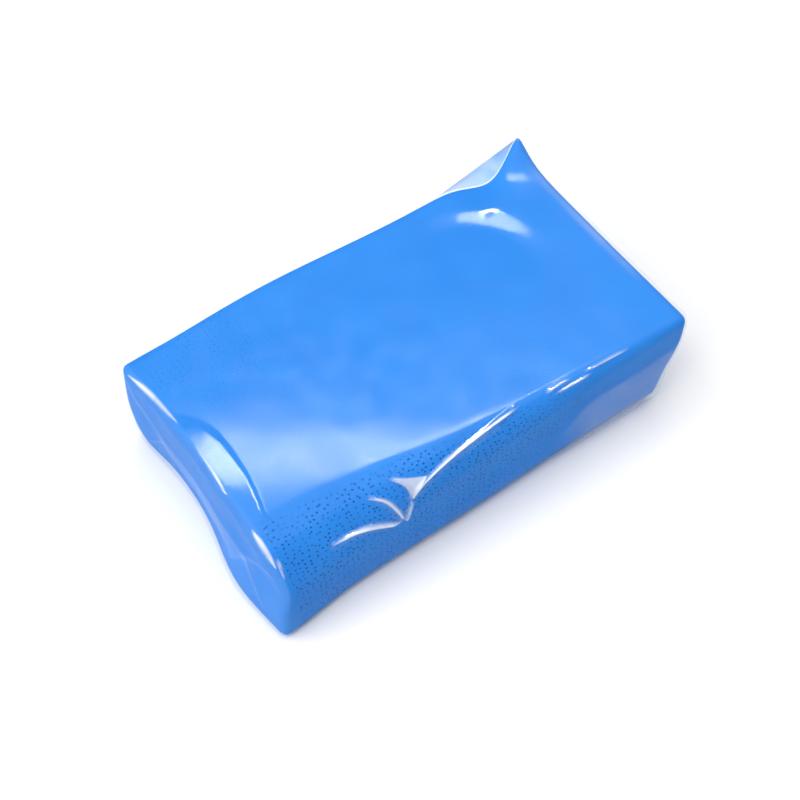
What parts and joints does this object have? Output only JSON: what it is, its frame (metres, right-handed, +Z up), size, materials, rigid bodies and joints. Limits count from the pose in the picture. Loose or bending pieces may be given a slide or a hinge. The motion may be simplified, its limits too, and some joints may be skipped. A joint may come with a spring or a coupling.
{
  "type": "clay bar",
  "caption": "Rectangular bar of soft blue detailing clay wrapped in a parcel-folded clear film that unfolds at both ends.",
  "frame": {"origin": "middle of the underside, on the surface that the bar rests on", "axes": "+X along the bar towards the end with the film ear, +Y to the back long side, +Z up"},
  "size_m": [0.09, 0.052, 0.0266],
  "materials": {
    "clay": "satin",
    "clear_film": "gloss"
  },
  "bodies": {
    "wrapped_bar": {"clay_block": "clay", "film_top": "clear_film", "film_front": "clear_film", "film_back": "clear_film", "film_bottom": "clear_film"},
    "left_upper_fold": {"left_upper_flap": "clear_film"},
    "left_lower_fold": {"left_lower_flap": "clear_film"},
    "left_front_fold": {"left_front_tuck": "clear_film"},
    "left_back_fold": {"left_back_tuck": "clear_film"},
    "right_upper_fold": {"right_upper_flap": "clear_film"},
    "right_lower_fold": {"right_lower_flap": "clear_film"},
    "right_front_fold": {"right_front_tuck": "clear_film"},
    "right_back_fold": {"right_back_tuck": "clear_film"},
    "loose_lap": {"seam_flap": "clear_film"},
    "ear": {"corner_ear": "clear_film"}
  },
  "joints": [
    {"name": "left_end_opening", "type": "hinge", "parent": "wrapped_bar", "child": "left_upper_fold", "pos_m": [-0.0447, 0, 0.0234], "axis": [0, 1, 0], "range_deg": [0, 140]},
    {"name": "left_lower_opening", "type": "hinge", "parent": "wrapped_bar", "child": "left_lower_fold", "pos_m": [-0.04425, 0, 0.0004], "axis": [0, -1, 0], "range_deg": [0, 84]},
    {"name": "left_front_untucking", "type": "hinge", "parent": "wrapped_bar", "child": "left_front_fold", "pos_m": [-0.0438, -0.02515, 0.0117], "axis": [0, 0, 1], "range_deg": [0, 84]},
    {"name": "left_back_untucking", "type": "hinge", "parent": "wrapped_bar", "child": "left_back_fold", "pos_m": [-0.0438, 0.0256, 0.0117], "axis": [0, 0, -1], "range_deg": [0, 84]},
    {"name": "right_end_opening", "type": "hinge", "parent": "wrapped_bar", "child": "right_upper_fold", "pos_m": [0.0447, 0, 0.0234], "axis": [0, -1, 0], "range_deg": [0, 140]},
    {"name": "right_lower_opening", "type": "hinge", "parent": "wrapped_bar", "child": "right_lower_fold", "pos_m": [0.04425, 0, 0.0004], "axis": [0, 1, 0], "range_deg": [0, 84]},
    {"name": "right_front_untucking", "type": "hinge", "parent": "wrapped_bar", "child": "right_front_fold", "pos_m": [0.0438, -0.02515, 0.0117], "axis": [0, 0, -1], "range_deg": [0, 84]},
    {"name": "right_back_untucking", "type": "hinge", "parent": "wrapped_bar", "child": "right_back_fold", "pos_m": [0.0438, 0.0256, 0.0117], "axis": [0, 0, 1], "range_deg": [0, 84]},
    {"name": "seam_lifting", "type": "hinge", "parent": "wrapped_bar", "child": "loose_lap", "pos_m": [0, -0.0257, 0.016], "axis": [-1, 0, 0], "range_deg": [0, 100]},
    {"name": "ear_bending", "type": "hinge", "parent": "wrapped_bar", "child": "ear", "pos_m": [0, 0.026, 0.0234], "axis": [-1, 0, 0], "range_deg": [0, 110]}
  ],
  "couplings": [
    {"joint": "left_lower_opening", "follows": "left_end_opening", "ratio": 0.6},
    {"joint": "left_front_untucking", "follows": "left_end_opening", "ratio": 0.6},
    {"joint": "left_back_untucking", "follows": "left_end_opening", "ratio": 0.6},
    {"joint": "right_lower_opening", "follows": "right_end_opening", "ratio": 0.6},
    {"joint": "right_front_untucking", "follows": "right_end_opening", "ratio": 0.6},
    {"joint": "right_back_untucking", "follows": "right_end_opening", "ratio": 0.6}
  ]
}
